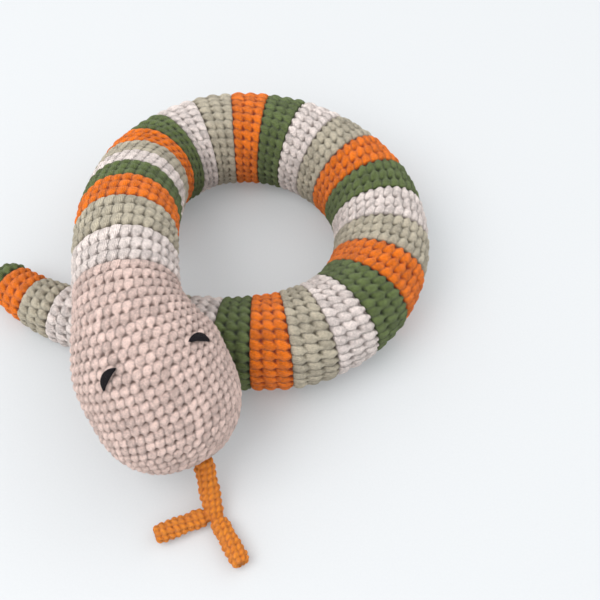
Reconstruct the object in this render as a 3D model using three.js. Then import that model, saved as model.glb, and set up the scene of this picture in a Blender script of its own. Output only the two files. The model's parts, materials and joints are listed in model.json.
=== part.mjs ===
// A crocheted, stuffed toy snake lying coiled once over itself, millimetres, +Z up.
// The soft body is a tube of single crochet worked in colour stripes and filled with fibre.
// Every stripe's cover and every wad of filling is a piece of its own. The body bends between
// pairs of stripes: each bend is a rounded end that turns inside a hollow one, on one centre.
import * as THREE from 'three';

// ---- body: sizes in mm, angles in degrees ----
const BODY_DIAMETER = 54;
const STRIPE_LENGTH = 18.9;
const STRIPES = 32;
const STRIPES_PER_SEGMENT = 2;
const COVER_THICKNESS = 3;
const TAPER_STRIPES = 9.5;
const TAPER_CURVE = 1.25;
const TIP_DIAMETER = 25;
const TIP_STRIPE_LENGTH = 12;

// ---- how the body lies: [number of stripes, turn to the right] from the neck to the tail ----
const COIL = [[5.7, 10], [3.9, 78], [4.8, 62], [3.9, 57], [3.9, 64], [2, 18], [3.7, 4], [4, 36]];
const NECK_HEADING = 97.5;
const CROSSING_STRIPE = 26.3;
const NECK_CLEARANCE = 14;
const NECK_LEVEL_STRIPES = 0.5;
const NECK_GROUND_STRIPE = 8.5;

// ---- head ----
const HEAD_REACH = 76;
const NECK_STRETCH = 38;
const NOSE_STRETCH = 18;
const HEAD_WIDTH = 81;
const HEAD_CROWN = 37;
const HEAD_BELLY = 24;
const HEAD_TURN = 21;
const NOSE_HEIGHT = 20;
const NOSE_DIP = 28;
const WIDEST_FROM = 0.42;
const WIDEST_TO = 0.58;
const NOSE_FALL = 2.1;
const NOSE_BLUNTNESS = 0.55;

// ---- eyes: half moons ----
const EYE_LENGTH = 12;
const EYE_WIDTH = 5.5;
const EYE_THICKNESS = 1.8;
const EYE_ARCH = 0.42;
const EYE_SAG = 0.12;
const EYE_PLACE = 0.335;
const EYE_ANGLE = 38;
const EYE_TILT = 18;

// ---- tongue ----
const TONGUE_DIAMETER = 10.4;
const FORK_DIAMETER = 8.6;
const STEM_REACH = 18;
const STEM_TURN = -15;
const FORK_LENGTH = 21;
const FORK_SPREAD = 94;
const FORK_TURN = -32;
const FORK_KNOB = 1.18;
const FORK_BOW = 0.06;
const STEM_MIDDLE = 0.45;
const STEM_DROOP = 0.25;

// ---- clearances ----
const GAP = 0.3;
const FILLING_GAP = 1.0;
const BEND_GAP = 0.7;
const PIVOT_DEPTH = 0.75;

// ---- where the body is taken to rest on its flat ----
const REST_STRIPE = 10.75;

// ---- fineness ----
const SIDES = 16;
const HEAD_SIDES = 20;
const TONGUE_SIDES = 10;
const STEPS_PER_STRIPE = 2;
const PATH_STEPS = 16;
const HALVINGS = 26;
const BEND_SEARCH = 2;
const CAP_SHRINKS = [0.3, 0.58, 0.82, 1];
const DOME_SHARES = [0.3, 0.62, 0.86];
const HEAD_SHARES = [0.1, 0.2, 0.3, 0.4, 0.5, 0.6, 0.69, 0.77, 0.84, 0.9, 0.95, 0.985];
const TONGUE_STEPS = 6;
const EYE_SIDE_STEPS = 5;
const FINE_SIDES = 1000;

const YARN = {
  pale: 0xd6c8c0,
  sage: 0xb5b39c,
  orange: 0xdf7a2a,
  green: 0x566b37,
};
const YARN_ORDER = ['pale', 'sage', 'orange', 'green'];
const HEAD_COLOUR = 0xcbb2aa;
const TONGUE_COLOUR = 0xe6862d;
const EYE_COLOUR = 0x1c171b;
const FILLING_COLOUR = 0xf2f0ea;

const BODY_RADIUS = BODY_DIAMETER / 2;
const TIP_RADIUS = TIP_DIAMETER / 2;
const TAPER_START = STRIPES - 1 - TAPER_STRIPES;
const UP = new THREE.Vector3(0, 0, 1);
const rad = THREE.MathUtils.degToRad;
const clamp = THREE.MathUtils.clamp;

// ---------- the body's line ----------
// A place along the body is given in stripes: 0 at the neck, STRIPES at the tail's end.
// Places under 0 run on through the head, to -HEAD_STRIPES at the nose.

function radiusAt(stripe) {
  const share = clamp((stripe - TAPER_START) / TAPER_STRIPES, 0, 1);
  return BODY_RADIUS + (TIP_RADIUS - BODY_RADIUS) * Math.pow(share, TAPER_CURVE);
}

const NECK_LIFT = 2 * radiusAt(CROSSING_STRIPE) + NECK_CLEARANCE;

function liftShare(stripe) {
  return clamp((stripe - NECK_LEVEL_STRIPES) / (NECK_GROUND_STRIPE - NECK_LEVEL_STRIPES), 0, 1);
}

function liftAt(stripe) {
  return NECK_LIFT * (0.5 + 0.5 * Math.cos(Math.PI * liftShare(stripe)));
}

function slopeAt(stripe) {
  const run = (NECK_GROUND_STRIPE - NECK_LEVEL_STRIPES) * STRIPE_LENGTH;
  return -NECK_LIFT * 0.5 * Math.PI / run * Math.sin(Math.PI * liftShare(stripe));
}

function headingAt(stripe) {
  let turned = 0;
  let from = 0;
  for (const [count, turn] of COIL) {
    turned += turn * clamp((stripe - from) / count, 0, 1);
    from += count;
  }
  return rad(NECK_HEADING - turned);
}

function directionAt(stripe) {
  const heading = headingAt(stripe);
  const flat = new THREE.Vector3(Math.cos(heading), Math.sin(heading), slopeAt(stripe));
  return flat.normalize();
}

function layBodyLine() {
  const points = [new THREE.Vector3(0, 0, 0)];
  for (let i = 1; i <= STRIPES * PATH_STEPS; i += 1) {
    const middle = directionAt((i - 0.5) / PATH_STEPS);
    const length = i > (STRIPES - 1) * PATH_STEPS ? TIP_STRIPE_LENGTH : STRIPE_LENGTH;
    points.push(points[i - 1].clone().addScaledVector(middle, length / PATH_STEPS));
  }
  for (let i = 0; i <= STRIPES * PATH_STEPS; i += 1) {
    const stripe = i / PATH_STEPS;
    points[i].z = radiusAt(stripe) + liftAt(stripe);
  }
  return points;
}

const BODY_LINE = layBodyLine();

function bodyPoint(stripe) {
  const at = clamp(stripe, 0, STRIPES) * PATH_STEPS;
  const i = Math.min(Math.floor(at), BODY_LINE.length - 2);
  return BODY_LINE[i].clone().lerp(BODY_LINE[i + 1], at - i);
}

// ---------- the head's line ----------

function layHeadLine() {
  const neck = bodyPoint(0);
  const turn = headingAt(0) + Math.PI + rad(HEAD_TURN);
  const ahead = new THREE.Vector3(Math.cos(turn), Math.sin(turn), 0);
  const nose = neck.clone().addScaledVector(ahead, HEAD_REACH);
  nose.z = NOSE_HEIGHT;
  const leaving = directionAt(0).negate();
  const ending = ahead.clone().multiplyScalar(Math.cos(rad(NOSE_DIP)));
  ending.z = -Math.sin(rad(NOSE_DIP));
  return new THREE.CubicBezierCurve3(
    neck,
    neck.clone().addScaledVector(leaving, NECK_STRETCH),
    nose.clone().addScaledVector(ending, -NOSE_STRETCH),
    nose,
  );
}

const HEAD_LINE = layHeadLine();
const HEAD_STRIPES = HEAD_LINE.getLength() / STRIPE_LENGTH;

function headSwell(share) {
  if (share < WIDEST_FROM) {
    return 0.5 - 0.5 * Math.cos(Math.PI * share / WIDEST_FROM);
  }
  return 1;
}

function noseRounding(share) {
  const past = clamp((share - WIDEST_TO) / (1 - WIDEST_TO), 0, 1);
  return Math.pow(1 - Math.pow(past, NOSE_FALL), NOSE_BLUNTNESS);
}

// ---------- cross sections ----------

function section(stripe) {
  if (stripe >= 0) {
    const tangent = directionAt(stripe);
    const radius = radiusAt(stripe);
    return { centre: bodyPoint(stripe), tangent, wide: radius, crown: radius, belly: radius };
  }
  const share = clamp(-stripe / HEAD_STRIPES, 0, 1);
  const grown = (size) => {
    return (BODY_RADIUS + (size - BODY_RADIUS) * headSwell(share)) * noseRounding(share);
  };
  return {
    centre: HEAD_LINE.getPointAt(share),
    tangent: HEAD_LINE.getTangentAt(share).negate(),
    wide: grown(HEAD_WIDTH / 2),
    crown: grown(HEAD_CROWN),
    belly: grown(HEAD_BELLY),
  };
}

// A point of the cross section, inset from the outside and shrunk towards the middle.
// Flat sides, not corners, lie at the full radius, so that the body rests on a flat.
function sectionPoint(stripe, angle, sides, inset = 0, shrink = 1) {
  const { centre, tangent, wide, crown, belly } = section(stripe);
  const high = Math.sin(angle) > 0 ? crown : belly;
  const side = new THREE.Vector3().crossVectors(tangent, UP).normalize();
  const top = new THREE.Vector3().crossVectors(side, tangent);
  const corner = shrink / Math.cos(Math.PI / sides);
  return centre
    .addScaledVector(side, (wide - inset) * corner * Math.cos(angle))
    .addScaledVector(top, (high - inset) * corner * Math.sin(angle));
}

function sectionRing(stripe, sides, inset = 0, shrink = 1) {
  const ring = [];
  for (let i = 0; i < sides; i += 1) {
    ring.push(sectionPoint(stripe, (i + 0.5) * 2 * Math.PI / sides, sides, inset, shrink));
  }
  return ring;
}

// ---------- bends ----------
// A bend lies at a stripe boundary. The side away from the root turns, and holds the centre.

function makeBend(stripe, towardsTail) {
  const depth = PIVOT_DEPTH * radiusAt(stripe);
  const away = towardsTail ? 1 : -1;
  const pivotStripe = stripe + away * depth / STRIPE_LENGTH;
  const pivot = section(pivotStripe).centre;
  const radius = Math.hypot(radiusAt(stripe), section(stripe).centre.distanceTo(pivot));
  return { stripe, away, pivotStripe, pivot, radius };
}

// The point where a line of the body, at one angle and depth, meets a bend's ball.
function meetBend(bend, radius, angle, sides, inset, shrink) {
  let inside = bend.pivotStripe;
  let outside = bend.stripe - bend.away * BEND_SEARCH;
  for (let i = 0; i < HALVINGS; i += 1) {
    const middle = (inside + outside) / 2;
    const point = sectionPoint(middle, angle, sides, inset, shrink);
    if (point.distanceTo(bend.pivot) < radius) {
      inside = middle;
    } else {
      outside = middle;
    }
  }
  return sectionPoint((inside + outside) / 2, angle, sides, inset, shrink);
}

// ---------- ends of pieces ----------
// An end is either flat across the body or shaped by a bend's ball.

function flatEnd(stripe) {
  const ring = (sides, inset, shrink) => sectionRing(stripe, sides, inset, shrink);
  return { stripe, ring, clears: () => true };
}

// Filling keeps a wider gap there than the covers do.
function bendEnd(bend, turning, spare = 0) {
  const radius = turning ? bend.radius - spare : bend.radius + BEND_GAP + spare;
  const ring = (sides, inset = 0, shrink = 1) => {
    const points = [];
    for (let i = 0; i < sides; i += 1) {
      const angle = (i + 0.5) * 2 * Math.PI / sides;
      points.push(meetBend(bend, radius, angle, sides, inset, shrink));
    }
    return points;
  };
  const clears = (point) => turning || point.distanceTo(bend.pivot) > radius + GAP;
  return { stripe: bend.stripe, ring, clears };
}

function centreOf(ring) {
  const sum = new THREE.Vector3();
  ring.forEach((point) => sum.add(point));
  return sum.multiplyScalar(1 / ring.length);
}

// ---------- closed skins ----------

function addTriangle(positions, a, b, c) {
  positions.push(a.x, a.y, a.z, b.x, b.y, b.z, c.x, c.y, c.z);
}

function joinRings(positions, first, second) {
  const count = Math.max(first.length, second.length);
  for (let i = 0; i < count; i += 1) {
    const j = (i + 1) % count;
    if (first.length === 1) {
      addTriangle(positions, first[0], second[j], second[i]);
    } else if (second.length === 1) {
      addTriangle(positions, first[i], first[j], second[0]);
    } else {
      addTriangle(positions, first[i], first[j], second[j]);
      addTriangle(positions, first[i], second[j], second[i]);
    }
  }
}

function enclosedVolume(positions) {
  const a = new THREE.Vector3();
  const b = new THREE.Vector3();
  const c = new THREE.Vector3();
  let volume = 0;
  for (let i = 0; i < positions.length; i += 9) {
    a.fromArray(positions, i);
    b.fromArray(positions, i + 3);
    c.fromArray(positions, i + 6);
    volume += a.dot(b.cross(c)) / 6;
  }
  return volume;
}

function turnedInsideOut(positions) {
  const turned = [];
  for (let i = 0; i < positions.length; i += 9) {
    turned.push(...positions.slice(i, i + 3));
    turned.push(...positions.slice(i + 6, i + 9));
    turned.push(...positions.slice(i + 3, i + 6));
  }
  return turned;
}

// A skin runs from ring to ring. A ring of one point is a pole; a looped skin joins up again.
function skin(rings, looped = false) {
  let positions = [];
  for (let i = 0; i + 1 < rings.length; i += 1) {
    joinRings(positions, rings[i], rings[i + 1]);
  }
  if (looped) {
    joinRings(positions, rings[rings.length - 1], rings[0]);
  }
  if (enclosedVolume(positions) < 0) {
    positions = turnedInsideOut(positions);
  }
  const geometry = new THREE.BufferGeometry();
  geometry.setAttribute('position', new THREE.Float32BufferAttribute(positions, 3));
  geometry.computeVertexNormals();
  return geometry;
}

// ---------- covers and filling ----------

// Rings between two ends. One that would stand in a hollow end is left out.
function ringsBetween(start, end, steps, inset) {
  const rings = [];
  for (let i = 1; i < steps; i += 1) {
    const stripe = start.stripe + (end.stripe - start.stripe) * i / steps;
    const ring = sectionRing(stripe, SIDES, inset);
    if (ring.every((point) => start.clears(point) && end.clears(point))) {
      rings.push(ring);
    }
  }
  return rings;
}

function coverRing(start, end) {
  return skin([
    start.ring(SIDES, 0, 1),
    ...ringsBetween(start, end, STEPS_PER_STRIPE, 0),
    end.ring(SIDES, 0, 1),
    end.ring(SIDES, COVER_THICKNESS, 1),
    ...ringsBetween(start, end, STEPS_PER_STRIPE, COVER_THICKNESS).reverse(),
    start.ring(SIDES, COVER_THICKNESS, 1),
  ], true);
}

// The tail's last stripe closes in a dome.
function domeShrink(share) {
  return Math.sqrt(1 - share ** 2);
}

function tailDome(start, inset) {
  const last = STRIPES - inset / TIP_STRIPE_LENGTH;
  const rings = [];
  for (const share of DOME_SHARES) {
    const stripe = start.stripe + (last - start.stripe) * share;
    rings.push(sectionRing(stripe, SIDES, inset, domeShrink(share)));
  }
  rings.push([bodyPoint(last)]);
  return rings;
}

function tailTipCover(start) {
  return skin([
    ...tailDome(start, COVER_THICKNESS).reverse(),
    start.ring(SIDES, COVER_THICKNESS, 1),
    start.ring(SIDES, 0, 1),
    ...tailDome(start, 0),
  ]);
}

function capRings(end, sides, inset) {
  const rings = CAP_SHRINKS.map((shrink) => end.ring(sides, inset, shrink));
  return [[centreOf(end.ring(sides, inset, 0.01))], ...rings];
}

function fillingWad(start, end) {
  const inset = COVER_THICKNESS + FILLING_GAP;
  const steps = STRIPES_PER_SEGMENT * STEPS_PER_STRIPE;
  return skin([
    ...capRings(start, SIDES, inset),
    ...ringsBetween(start, end, steps, inset),
    ...capRings(end, SIDES, inset).reverse(),
  ]);
}

function tailFilling(start) {
  const inset = COVER_THICKNESS + FILLING_GAP;
  const middle = flatEnd(STRIPES - 1);
  return skin([
    ...capRings(start, SIDES, inset),
    middle.ring(SIDES, inset, 1),
    ...tailDome(middle, inset),
  ]);
}

// ---------- head pieces ----------

function headRings(inset) {
  const reach = HEAD_STRIPES - inset / STRIPE_LENGTH;
  const rings = HEAD_SHARES.map((share) => sectionRing(-reach * share, HEAD_SIDES, inset));
  rings.push([section(-reach).centre]);
  return rings;
}

function headCover(start) {
  return skin([
    ...headRings(COVER_THICKNESS).reverse(),
    start.ring(HEAD_SIDES, COVER_THICKNESS, 1),
    start.ring(HEAD_SIDES, 0, 1),
    ...headRings(0),
  ]);
}

function headFilling(start) {
  const inset = COVER_THICKNESS + FILLING_GAP;
  return skin([...capRings(start, HEAD_SIDES, inset), ...headRings(inset)]);
}

function eyeOutline() {
  const outline = new THREE.Shape();
  outline.moveTo(-EYE_LENGTH / 2, 0);
  outline.quadraticCurveTo(-EYE_LENGTH * EYE_ARCH, EYE_WIDTH, 0, EYE_WIDTH);
  outline.quadraticCurveTo(EYE_LENGTH * EYE_ARCH, EYE_WIDTH, EYE_LENGTH / 2, 0);
  outline.quadraticCurveTo(0, -EYE_WIDTH * EYE_SAG, -EYE_LENGTH / 2, 0);
  return outline;
}

// The eye lies on the head's skin, its straight edge across the head's length.
function eye(sideways) {
  const stripe = -HEAD_STRIPES * EYE_PLACE;
  const angle = Math.PI / 2 - sideways * rad(EYE_ANGLE);
  const step = 0.02;
  const here = sectionPoint(stripe, angle, FINE_SIDES);
  const along = sectionPoint(stripe - step, angle, FINE_SIDES).sub(here).normalize();
  const round = sectionPoint(stripe, angle + step, FINE_SIDES).sub(here).normalize();
  const outward = new THREE.Vector3().crossVectors(along, round).normalize();
  if (outward.z < 0) {
    outward.negate();
  }
  const across = new THREE.Vector3().crossVectors(outward, along).normalize();
  const back = new THREE.Vector3().crossVectors(outward, across);
  const geometry = new THREE.ExtrudeGeometry(eyeOutline(), {
    depth: EYE_THICKNESS,
    bevelEnabled: false,
    curveSegments: EYE_SIDE_STEPS,
  });
  geometry.translate(0, -EYE_WIDTH / 2, 0);
  geometry.rotateZ(-sideways * rad(EYE_TILT));
  geometry.applyMatrix4(new THREE.Matrix4().makeBasis(across, back, outward));
  const clear = here.addScaledVector(outward, GAP + EYE_SEAT);
  geometry.translate(clear.x, clear.y, clear.z);
  return geometry;
}

// A flat patch on the faceted, rounded head stands off by the height of the facets' corners.
const EYE_SEAT = HEAD_WIDTH / 2 * (1 / Math.cos(Math.PI / HEAD_SIDES) - 1);

// ---------- tongue ----------

function roundedTube(curve, startRadius, endRadius, knob) {
  const rings = [];
  const sideAt = (share) => {
    const tangent = curve.getTangentAt(share);
    const side = new THREE.Vector3().crossVectors(tangent, UP).normalize();
    return { tangent, side, top: new THREE.Vector3().crossVectors(side, tangent) };
  };
  const ringAt = (share, radius, ahead) => {
    const { tangent, side, top } = sideAt(share);
    const centre = curve.getPointAt(share).addScaledVector(tangent, ahead);
    const ring = [];
    for (let i = 0; i < TONGUE_SIDES; i += 1) {
      const angle = (i + 0.5) * 2 * Math.PI / TONGUE_SIDES;
      ring.push(centre.clone()
        .addScaledVector(side, radius * Math.cos(angle))
        .addScaledVector(top, radius * Math.sin(angle)));
    }
    return ring;
  };
  const start = curve.getPointAt(0).addScaledVector(curve.getTangentAt(0), -startRadius);
  rings.push([start]);
  for (const lean of [30, 60]) {
    const ahead = -startRadius * Math.cos(rad(lean));
    rings.push(ringAt(0, startRadius * Math.sin(rad(lean)), ahead));
  }
  for (let i = 0; i <= TONGUE_STEPS; i += 1) {
    const share = i / TONGUE_STEPS;
    const swell = 1 + (knob - 1) * Math.max(0, share * 3 - 2);
    const radius = (startRadius + (endRadius - startRadius) * share) * swell;
    rings.push(ringAt(share, radius, 0));
  }
  const last = endRadius * knob;
  for (const lean of [60, 30]) {
    rings.push(ringAt(1, last * Math.sin(rad(lean)), last * Math.cos(rad(lean))));
  }
  rings.push([curve.getPointAt(1).addScaledVector(curve.getTangentAt(1), last)]);
  return skin(rings);
}

function layTongue() {
  const nose = section(-HEAD_STRIPES);
  const ahead = nose.tangent.clone().negate().setZ(0).normalize();
  ahead.applyAxisAngle(UP, rad(STEM_TURN));
  const root = nose.centre.clone()
    .addScaledVector(nose.tangent, -(TONGUE_DIAMETER / 2 + BEND_GAP));
  const ground = TONGUE_DIAMETER / 2;
  const end = root.clone().addScaledVector(ahead, STEM_REACH).setZ(ground);
  const middle = root.clone().addScaledVector(ahead, STEM_REACH * STEM_MIDDLE);
  middle.z = ground + (root.z - ground) * STEM_DROOP;
  const stem = new THREE.QuadraticBezierCurve3(root, middle, end);
  const spacing = TONGUE_DIAMETER / 2 + FORK_DIAMETER / 2 + BEND_GAP;
  const forks = [-1, 1].map((sideways) => {
    const turn = rad(FORK_TURN + sideways * -FORK_SPREAD / 2);
    const away = ahead.clone().applyAxisAngle(UP, turn);
    const from = end.clone().addScaledVector(away, spacing).setZ(FORK_DIAMETER / 2 * FORK_KNOB);
    const bow = ahead.clone().multiplyScalar(FORK_LENGTH * FORK_BOW);
    const half = from.clone().addScaledVector(away, FORK_LENGTH / 2).add(bow);
    const to = from.clone().addScaledVector(away, FORK_LENGTH);
    return new THREE.QuadraticBezierCurve3(from, half, to);
  });
  return { root, stem, forks };
}

const TONGUE = layTongue();

// ---------- the assembly ----------

const snake = new THREE.Group();

function material(colour) {
  return new THREE.MeshStandardMaterial({ color: colour, roughness: 0.95, metalness: 0 });
}

function addPiece(name, geometry, colour) {
  const mesh = new THREE.Mesh(geometry, material(colour));
  mesh.name = name;
  snake.add(mesh);
}

function twoDigits(number) {
  return String(number).padStart(2, '0');
}

// Bends between the segments. The root lies at the back; the stretch under the neck is held
// by the neck's weight and has no bends of its own.
const ROOT_SEGMENT = 6;
const HELD_SEGMENTS = [12, 14];
const SEGMENTS = STRIPES / STRIPES_PER_SEGMENT;

function segmentIsHeldTo(next) {
  return next > HELD_SEGMENTS[0] && next <= HELD_SEGMENTS[1];
}

function layBends() {
  const bends = {};
  for (let segment = 0; segment < SEGMENTS; segment += 1) {
    const stripe = segment * STRIPES_PER_SEGMENT;
    if (!segmentIsHeldTo(segment + 1)) {
      bends[stripe] = makeBend(stripe, segment >= ROOT_SEGMENT);
    }
  }
  return bends;
}

const BENDS = layBends();

// The end of a piece at a boundary, seen from the piece on its head side or its tail side.
function endAt(stripe, pieceIsTailward, spare = 0) {
  const bend = BENDS[stripe];
  if (!bend) {
    const half = GAP / 2 / STRIPE_LENGTH;
    return flatEnd(stripe + (pieceIsTailward ? half : -half));
  }
  return bendEnd(bend, pieceIsTailward === (bend.away > 0), spare);
}

function addStripes() {
  for (let number = 1; number <= STRIPES; number += 1) {
    const colour = YARN[YARN_ORDER[(number - 1) % YARN_ORDER.length]];
    const start = endAt(number - 1, true);
    const geometry = number < STRIPES ? coverRing(start, endAt(number, false)) : tailTipCover(start);
    addPiece(`stripe_${twoDigits(number)}`, geometry, colour);
  }
}

function addFilling() {
  for (let segment = 1; segment <= SEGMENTS; segment += 1) {
    const start = endAt((segment - 1) * STRIPES_PER_SEGMENT, true, FILLING_GAP);
    const geometry = segment < SEGMENTS
      ? fillingWad(start, endAt(segment * STRIPES_PER_SEGMENT, false, FILLING_GAP))
      : tailFilling(start);
    addPiece(`body_filling_${twoDigits(segment)}`, geometry, FILLING_COLOUR);
  }
}

function addHead() {
  addPiece('head_cover', headCover(bendEnd(BENDS[0], true)), HEAD_COLOUR);
  addPiece('head_filling', headFilling(bendEnd(BENDS[0], true, FILLING_GAP)), FILLING_COLOUR);
  addPiece('eye_left', eye(1), EYE_COLOUR);
  addPiece('eye_right', eye(-1), EYE_COLOUR);
}

function addTongue() {
  const stemRadius = TONGUE_DIAMETER / 2;
  const forkRadius = FORK_DIAMETER / 2;
  addPiece('tongue_stem', roundedTube(TONGUE.stem, stemRadius, stemRadius, 1), TONGUE_COLOUR);
  TONGUE.forks.forEach((curve, i) => {
    const name = i === 0 ? 'tongue_fork_left' : 'tongue_fork_right';
    addPiece(name, roundedTube(curve, forkRadius, forkRadius, FORK_KNOB), TONGUE_COLOUR);
  });
}

addStripes();
addFilling();
addHead();
addTongue();

// The origin is the middle of the footprint, on the surface the snake lies on.
const box = new THREE.Box3().setFromObject(snake);
const footprint = box.getCenter(new THREE.Vector3()).setZ(0);
snake.position.copy(footprint).negate();

// The bends' centres and the tongue's roots, in the finished frame, for whoever joins the parts.
const place = (point) => point.clone().sub(footprint).toArray();
snake.userData.bends = Object.values(BENDS).map((bend) => ({
  stripe: bend.stripe,
  centre: place(bend.pivot),
  direction: directionAt(Math.max(bend.stripe, 0)).toArray(),
}));
snake.userData.tongue = {
  root: place(TONGUE.root),
  forks: TONGUE.forks.map((curve) => place(curve.getPointAt(0))),
};
snake.userData.rest = place(bodyPoint(REST_STRIPE).setZ(0));

export default snake;
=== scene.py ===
"""A crocheted, stuffed toy snake: every stripe, the head, the eyes and the tongue, stitch by stitch."""

import json
import math

import bpy
import numpy as np
from bpy.props import FloatProperty, FloatVectorProperty, IntProperty, PointerProperty
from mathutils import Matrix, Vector

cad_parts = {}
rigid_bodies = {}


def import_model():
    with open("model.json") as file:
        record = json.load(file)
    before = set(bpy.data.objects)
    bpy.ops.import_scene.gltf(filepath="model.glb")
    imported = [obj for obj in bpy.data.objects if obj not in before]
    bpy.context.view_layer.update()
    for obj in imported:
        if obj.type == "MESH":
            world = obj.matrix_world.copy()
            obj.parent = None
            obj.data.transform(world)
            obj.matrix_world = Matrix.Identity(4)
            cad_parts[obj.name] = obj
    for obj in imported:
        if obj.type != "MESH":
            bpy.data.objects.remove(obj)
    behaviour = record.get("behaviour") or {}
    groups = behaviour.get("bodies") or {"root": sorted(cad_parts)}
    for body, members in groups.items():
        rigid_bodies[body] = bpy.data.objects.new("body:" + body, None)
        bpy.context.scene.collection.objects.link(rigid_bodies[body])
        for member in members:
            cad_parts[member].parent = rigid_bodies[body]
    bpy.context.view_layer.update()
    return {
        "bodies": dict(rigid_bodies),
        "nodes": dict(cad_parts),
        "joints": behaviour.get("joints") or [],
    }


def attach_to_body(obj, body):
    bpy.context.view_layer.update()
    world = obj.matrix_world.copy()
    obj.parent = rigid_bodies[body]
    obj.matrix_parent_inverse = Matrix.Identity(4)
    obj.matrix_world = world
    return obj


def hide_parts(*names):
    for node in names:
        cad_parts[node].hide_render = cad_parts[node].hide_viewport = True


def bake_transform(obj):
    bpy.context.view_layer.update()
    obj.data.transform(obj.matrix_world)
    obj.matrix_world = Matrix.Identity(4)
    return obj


bl_info = {
    "name": "Crocheted Snake",
    "version": (1, 0, 0),
    "blender": (4, 5, 0),
    "location": "3D View > Sidebar > Snake",
    "description": "Works a striped, stuffed toy snake in single crochet around its packed frame",
    "category": "Object",
}

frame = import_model()
JOINTS = {joint["child"]: joint for joint in frame["joints"]}

STRIPES = 32
STRIPES_PER_SEGMENT = 2
STRIPE_SLOTS = ("pale_yarn", "sage_yarn", "orange_yarn", "green_yarn")
ROOT_STRIPES = (11, 12)
HELD_STRIPES = (25, 28)
# How the body lies: number of stripes and degrees turned to the right, neck to tail.
COIL = ((5.7, 10), (3.9, 78), (4.8, 62), (3.9, 57), (3.9, 64), (2, 18), (3.7, 4), (4, 36))
PATH_STEPS = 16
UP = np.array((0.0, 0.0, 1.0))
LEFT, RIGHT = 1, -1

TABLE_GAP = 0.0003
LINE_STEPS = 400
HEAD_STEPS = 1200

# How finely the stitches are worked.
COLUMNS_PER_STITCH = 10
LINES_PER_ROW = 10
LEAST_STITCHES = 6
# Shape of one stitch: widths are shares of its width, reaches and places along it are shares of its row.
RIDGE_MIDDLE, RIDGE_REACH, RIDGE_CURVE = 0.54, 0.60, 2.3
NOTCH_DEPTH = 0.16
CREASE_DEPTH, CREASE_WIDTH, CREASE_FROM, CREASE_TO = 0.16, 0.10, 0.30, 0.80
FOOT_HEIGHT, FOOT_WIDTH, FOOT_MIDDLE, FOOT_REACH = 0.62, 0.32, -0.03, 0.30
HOLE_DEPTH, HOLE_WIDTH, HOLE_MIDDLE, HOLE_REACH = 0.55, 0.19, 0.04, 0.23
HOLE_FROM = -0.3
STITCH_FROM, STITCH_TO = -0.36, 1.25
STITCH_LEAN = 0.40
# How much each row is moved on from the one before, and how much single stitches differ.
ROW_DRIFT = 0.12
HEIGHT_CHANCE, PLACE_CHANCE = 0.16, 0.14
# Where a piece goes under its neighbours: how far past its last row, how deep, and how soon.
TUCK = 0.3
START_SCALE, START_DEPTH, START_FADE = 1.75, 0.95, -0.06
END_DEPTH, END_FADE = 0.75, 0.1
# Height of a stitch that lies on the skin, and how relief follows rows that are narrower or wider.
SKIN_HEIGHT = 0.66
ROOM_LEAST, ROOM_MOST, ROOM_CURVE = 0.45, 1.15, 0.6
# How far from a closed end, in rows, the stitches start or stop.
NOSE_OPENING, TAIL_OPENING = 0.06, 0.04
CORD_OPENINGS = (0.04, 0.03)
# Head rows follow the lines over its top, its side and its underside, in these shares.
HEAD_LINES = np.array((0.5, 1.0, -0.5)) * math.pi
HEAD_LINE_SHARES = (0.6, 0.3, 0.1)

# Eyes: how threads lie on the head and over each other.
THREAD_FULLNESS = 0.72
THREAD_STEPS, THREAD_SIDES = 15, 8
THREAD_LIFT, THREAD_SWELL, EYE_SWELL = 0.0012, 0.0007, 0.0006
EYE_CURVE, EYE_SEAT = 2.2, 0.42
# Tongue: how far cords reach into what they are sewn to, and how uneven they are.
STEM_ROOT, TINE_ROOT = 0.0065, 0.0040
CORD_STEPS = 60
KNOB_FROM = 0.7
CREASE_SIZE, CREASE_TURNS, CREASE_SHIFT = 0.05, 2.5, 900


def length(name, description, default):
    return FloatProperty(
        name=name, description=description, default=default, min=0.0, unit="LENGTH", subtype="DISTANCE"
    )


def angle(name, description, degrees):
    return FloatProperty(
        name=name, description=description, default=math.radians(degrees), unit="ROTATION", subtype="ANGLE"
    )


def share(name, description, default):
    return FloatProperty(name=name, description=description, default=default, subtype="FACTOR")


def yarn(name, description, default):
    return FloatVectorProperty(
        name=name, description=description, default=default, size=3, min=0.0, max=1.0, subtype="COLOR"
    )


class SnakeBody(bpy.types.PropertyGroup):
    """Sizes of the body."""

    diameter: length("Diameter", "Thickness of the stuffed body", 0.054)
    stripe: length("Stripe", "Length of one colour stripe", 0.0189)
    last_stripe: length("Last stripe", "Length of the closed stripe at the tail's end", 0.012)
    tip_diameter: length("Tail diameter", "Thickness where the last stripe starts", 0.025)
    taper_stripes: FloatProperty(name="Taper", description="Stripes over which the tail narrows", default=9.5)
    taper_curve: FloatProperty(name="Taper curve", description="Higher narrows later", default=1.25)
    neck_heading: angle("Neck heading", "Direction in which the body leaves the head", 97.5)
    crossing: FloatProperty(name="Crossing", description="Stripe that the neck passes over", default=26.3)
    clearance: length("Clearance", "How far the neck is held over the tail", 0.014)
    level: FloatProperty(name="Level", description="Stripes over which the neck stays level", default=0.5)
    ground: FloatProperty(name="Ground", description="Stripe where the neck reaches the table", default=8.5)
    pivot_depth: share("Bend depth", "How far behind its edge a bend turns, in body radii", 0.75)
    bend_reach: share("Bend reach", "Half the length over which a bend is spread, in body radii", 0.35)


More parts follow.
